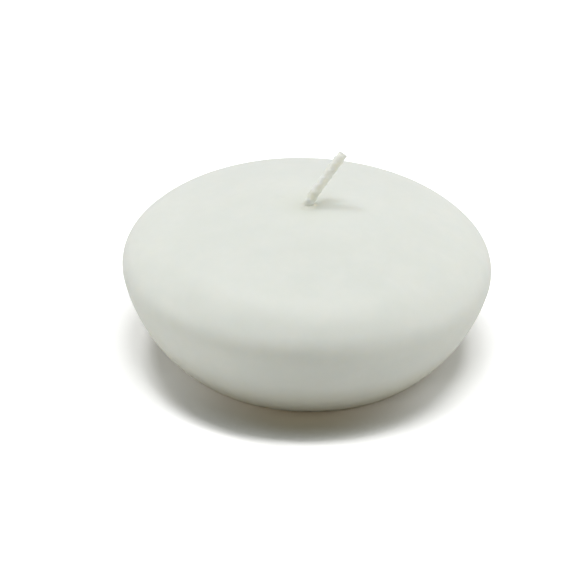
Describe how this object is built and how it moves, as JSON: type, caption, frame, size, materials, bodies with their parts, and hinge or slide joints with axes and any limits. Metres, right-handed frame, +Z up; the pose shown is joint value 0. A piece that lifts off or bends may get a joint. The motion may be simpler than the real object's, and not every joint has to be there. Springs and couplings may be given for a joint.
{
  "type": "floating candle",
  "caption": "Floating candle: a thick white wax disc with a low crown and bowl-shaped underside, and a braided cotton wick held by a tin tab.",
  "frame": {"origin": "middle of the flat base, on the surface that the candle stands on", "axes": "+Z up through the wick hole; +X to the right and +Y away from the viewer, and the wick leans between them"},
  "size_m": [0.0762, 0.0762, 0.0435],
  "materials": {
    "wax": "satin, slightly translucent paraffin wax",
    "cotton": "waxed cotton plait",
    "tin": "bright tinplate"
  },
  "bodies": {
    "root": {"wax_body": "wax", "wick": "cotton", "wick_sustainer": "tin"}
  },
  "joints": []
}
